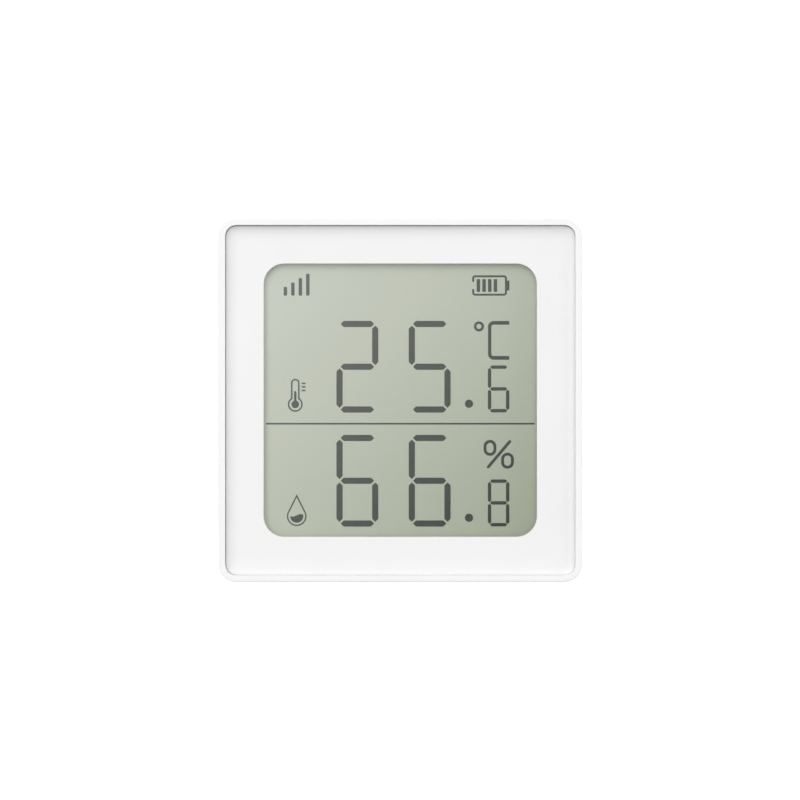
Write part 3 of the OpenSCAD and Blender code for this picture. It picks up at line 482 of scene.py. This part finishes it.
def skinned(name, slot, bars):
    """Closed bars on the case, each drawn over its rings of points in mm."""
    shape = bmesh.new()
    for bar in bars:
        rings = [[shape.verts.new(point * MM) for point in ring] for ring in bar]
        for low, high in zip(rings, rings[1:]):
            for k, corner in enumerate(low):
                before = k - 1
                shape.faces.new((low[before], corner, high[k], high[before]))
        shape.faces.new(rings[0])
        shape.faces.new(rings[-1])
    bmesh.ops.recalc_face_normals(shape, faces=shape.faces)
    for face in shape.faces:
        face.smooth = len(face.verts) == 4
    mesh = bpy.data.meshes.new(name)
    shape.to_mesh(mesh)
    shape.free()
    mesh.materials.append(PAINTS[slot])
    made = bpy.data.objects.new(name, mesh)
    bpy.context.scene.collection.objects.link(made)
    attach(made, "case")
    return made


def wire_rings(path, axis, radius, sides):
    """Rings of a round wire along a path that winds round an axis through that point along X."""
    rings = []
    for i, p in enumerate(path):
        along = (path[min(i + 1, len(path) - 1)] - path[max(i - 1, 0)]).normalized()
        out = Vector((0, p.y - axis.y, p.z - axis.z)).normalized()
        side = along.cross(out).normalized()
        up = side.cross(along)
        spokes = [math.cos(a) * up + math.sin(a) * side for a in circle_angles(sides)]
        rings.append([p + radius * spoke for spoke in spokes])
    return rings


# Middles of the springs' axes in Y and Z
SPRING_CENTRES = {"negative_spring": (4.15, 21.4), "link_spring": (4.15, 10.2)}
SPRING_TURNS, SPRING_BASE_R, SPRING_TIP_R = 3.5, 3.2, 2.0
SPRING_LEN, WIRE_D = 4.2, 0.45
# Rings in a turn of wire, and corners in a ring
SPRING_RINGS, WIRE_SIDES = 28, 12


def contact_spring(name, node, way):
    """Cone of round wire from its plate towards the cell."""
    low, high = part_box(node)
    plate_x = (high.x if way < 0 else low.x) / MM
    base = Vector((plate_x, *SPRING_CENTRES[node]))
    steps = int(SPRING_TURNS * SPRING_RINGS)
    turns = []
    for i in range(steps + 1):
        t = i / steps
        r = SPRING_BASE_R + (SPRING_TIP_R - SPRING_BASE_R) * t
        a = 2 * math.pi * SPRING_TURNS * t
        turns.append((WIRE_D + (SPRING_LEN - 2 * WIRE_D) * t, r * math.cos(a), r * math.sin(a)))
    x_end, y_end, z_end = turns[-1]
    line = [(0.0, SPRING_BASE_R, 0.0), *turns, (SPRING_LEN, y_end, z_end)]
    path = [base + Vector((way * x, way * y, z)) for x, y, z in line]
    rings = wire_rings(path, base, WIRE_D / 2, WIRE_SIDES)
    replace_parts(skinned(name, "contact_metal", [rings]), node)


contact_spring("wire_spring_negative", "negative_spring", way=-1)
contact_spring("wire_spring_link", "link_spring", way=1)

STRIP_T, STRIP_ROUND, STRIP_BULGE = 1.6, 0.3, 0.12
# How soon the strips reach their full width from their ends; smaller is sooner
STRIP_SWELL = 0.25
STRIP_SECTIONS, STRIP_ARC = 24, 6


def strip_ring(x, z, back, front, half):
    """Section of a squeezed rubber strip: rounded corners, flat ends and bulging sides."""
    ring = []
    middle, reach = (back + front) / 2, (front - back) / 2
    for turn in range(4):
        for k in range(STRIP_ARC + 1):
            a = math.pi / 2 * (turn + k / STRIP_ARC)
            y_sign = 1 if turn in (0, 3) else -1
            z_sign = 1 if turn in (0, 1) else -1
            y = y_sign * (reach - STRIP_ROUND) + STRIP_ROUND * math.cos(a)
            dz = z_sign * (half - STRIP_ROUND) + STRIP_ROUND * math.sin(a)
            ring.append(Vector((x, middle + y, z + dz)))
    return ring


def rubber_strips():
    """The two connector strips, narrow at their ends and bulging between the glass and the board."""
    low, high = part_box("connector_strips")
    half = STRIP_T / 2
    bars = []
    for z in (low.z / MM + half, high.z / MM - half):
        rings = []
        for i in range(STRIP_SECTIONS + 1):
            t = i / STRIP_SECTIONS
            x = (low.x + (high.x - low.x) * t) / MM
            squeeze = half - STRIP_BULGE * (1 - math.sin(math.pi * t) ** STRIP_SWELL)
            rings.append(strip_ring(x, z, low.y / MM, high.y / MM, squeeze))
        bars.append(rings)
    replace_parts(skinned("rubber_strips", "strip_rubber", bars), "connector_strips")


rubber_strips()

DOME_T, DOME_CROWN_R, DOME_STEPS, DOME_SIDES = 0.12, 0.8, 10, 48


def snap_dome():
    """Thin dome under the switch's plunger, which flattens as the button goes in."""
    low, high = (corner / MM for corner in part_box("switch_dome"))
    middle, rim_r, tall = (low + high) / 2, (high.x - low.x) / 2, high.y - low.y
    outer = []
    for i in range(DOME_STEPS + 1):
        t = i / DOME_STEPS
        y = low.y + DOME_T + (tall - DOME_T) * (1 + math.cos(math.pi * t)) / 2
        outer.append((DOME_CROWN_R + (rim_r - DOME_CROWN_R) * t, y))
    inner = [(r, y - DOME_T) for r, y in reversed(outer)]
    around = [(math.cos(a), math.sin(a)) for a in circle_angles(DOME_SIDES)]
    rings = []
    for r, y in outer + inner:
        rings.append([Vector((middle.x + r * c, y, middle.z + r * s)) for c, s in around])
    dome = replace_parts(skinned("snap_dome", "contact_metal", [rings]), "switch_dome")
    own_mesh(dome)


snap_dome()

# Light reaches the reflector through the display's layers, and no two of these share a face
GLASS_DRAWN_IN, FIGURES_DRAWN_IN = 0.01, 0.02
CLEAR_LAYERS = ("lcd_polariser", "lcd_front_glass", "lcd_rear_glass")
FIGURE_LAYERS = ("lcd_segments", "lcd_cell_seal")
for node in CLEAR_LAYERS + FIGURE_LAYERS:
    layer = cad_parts[node]
    draw_in(layer, GLASS_DRAWN_IN if node in CLEAR_LAYERS else FIGURES_DRAWN_IN)
    layer.visible_shadow = False
    layer.visible_diffuse = False


# Stage

PIXELS = 800
PIXELS_PER_MM = 6.055
# Where the middle of the case lies in the picture
CASE_AT = (400.28, 400.18)
CAMERA_DISTANCE = 2400.0
CAMERA_NEAR = 10.0
SENSOR = 36.0
AMBIENT = 0.35
BACKGROUND = 1.05
# Height of a mirrored direction, and the light it brings
MIRRORED_FROM = (0.25, 0.8)
MIRRORED = (0.45, 1.6)
LAMP_DISTANCE = 0.9
# Solids with a lamp of their own, because the key light would wash them out
DISPLAY = ("lcd_reflector", "lcd_segments", "lcd_cell_seal")
FLOOR_SIZE, FLOOR_DROP = 12.0, 0.02
FLOOR_GLOW, FLOOR_TONE, FLOOR_TINT, FLOOR_GRAIN = 0.95, 0.25, 0.98, 400.0

middle = (cad_box[0] + cad_box[1]) / 2
front = cad_box[0].y

camera = bpy.data.objects.new("camera", bpy.data.cameras.new("camera"))
camera.data.sensor_width = SENSOR
camera.data.lens = SENSOR * CAMERA_DISTANCE * PIXELS_PER_MM / PIXELS
aside, below = [(at - PIXELS / 2) / PIXELS_PER_MM * MM for at in CASE_AT]
camera.location = (middle.x - aside, front - CAMERA_DISTANCE * MM, middle.z + below)
camera.rotation_euler = (math.radians(90), 0, 0)
camera.data.clip_start = CAMERA_NEAR * MM
bpy.context.scene.collection.objects.link(camera)
bpy.context.scene.camera = camera


def softbox(name, direction, size, level, receivers=None, others=False):
    """Square lamp in a direction from the part, for the named solids alone or for all others."""
    lamp = bpy.data.objects.new(name, bpy.data.lights.new(name, "AREA"))
    toward = Vector(direction).normalized()
    lamp.data.size = size
    lamp.data.energy = level * (math.pi * LAMP_DISTANCE) ** 2
    lamp.location = middle + toward * LAMP_DISTANCE
    lamp.rotation_euler = toward.to_track_quat("Z", "Y").to_euler()
    lamp.visible_camera = False
    lamp.visible_glossy = False
    bpy.context.scene.collection.objects.link(lamp)
    if receivers:
        lit = bpy.data.collections.new(name)
        for node in receivers:
            lit.objects.link(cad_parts[node])
        lamp.light_linking.receiver_collection = lit
        for entry in lit.collection_objects:
            entry.light_linking.link_state = "EXCLUDE" if others else "INCLUDE"


softbox("key", (-0.32, -1.0, 0.45), size=1.9, level=1.77, receivers=DISPLAY, others=True)
softbox("display_light", (-0.12, -1.0, 0.21), size=0.75, level=0.575, receivers=DISPLAY)
softbox("side_light", (1.0, 0.0, 0.25), size=1.0, level=0.5)
softbox("back_light", (0.2, 1.0, 0.5), size=1.2, level=0.7)

world = bpy.data.worlds.new("studio")
world.use_nodes = True
bpy.context.scene.world = world
sky = world.node_tree
sky.nodes.clear()


def backdrop(strength):
    made = sky.nodes.new("ShaderNodeBackground")
    made.inputs["Color"].default_value = (1, 1, 1, 1)
    made.inputs["Strength"].default_value = strength
    return made


def chosen(ray, usual, special):
    """One backdrop for a kind of ray and another for the rest."""
    made = sky.nodes.new("ShaderNodeMixShader")
    sky.links.new(rays.outputs[ray], made.inputs[0])
    sky.links.new(usual.outputs[0], made.inputs[1])
    sky.links.new(special.outputs[0], made.inputs[2])
    return made


# What glossy surfaces mirror is bright overhead and dim about the horizon
rays = sky.nodes.new("ShaderNodeLightPath")
height = sky.nodes.new("ShaderNodeSeparateXYZ")
sky.links.new(sky.nodes.new("ShaderNodeTexCoord").outputs["Generated"], height.inputs[0])
overhead = sky.nodes.new("ShaderNodeMapRange")
sky.links.new(height.outputs["Z"], overhead.inputs["Value"])
limits = zip(("From Min", "From Max", "To Min", "To Max"), (*MIRRORED_FROM, *MIRRORED))
for socket, value in limits:
    overhead.inputs[socket].default_value = value
mirrored = backdrop(AMBIENT)
sky.links.new(overhead.outputs["Result"], mirrored.inputs["Strength"])
light = chosen("Is Glossy Ray", backdrop(AMBIENT), mirrored)
seen = chosen("Is Camera Ray", light, backdrop(BACKGROUND))
sky.links.new(seen.outputs[0], sky.nodes.new("ShaderNodeOutputWorld").inputs["Surface"])

bpy.ops.mesh.primitive_plane_add(size=FLOOR_SIZE, location=(0, 0, -FLOOR_DROP * MM))
floor = bpy.context.object
floor.name = "floor"
ground = Paint("floor", Emission_Strength=FLOOR_GLOW, Specular_IOR_Level=0.0)
ground.shader.inputs["Emission Color"].default_value = (1, 1, 1, 1)
ground.colour(ground.mottle(ground.noise(FLOOR_GRAIN), grey(FLOOR_TONE * FLOOR_TINT), grey(FLOOR_TONE)))
floor.data.materials.append(ground.material)
floor.visible_diffuse = False
floor.visible_glossy = False
floor.visible_shadow = False

bpy.context.scene.view_settings.view_transform = "Standard"
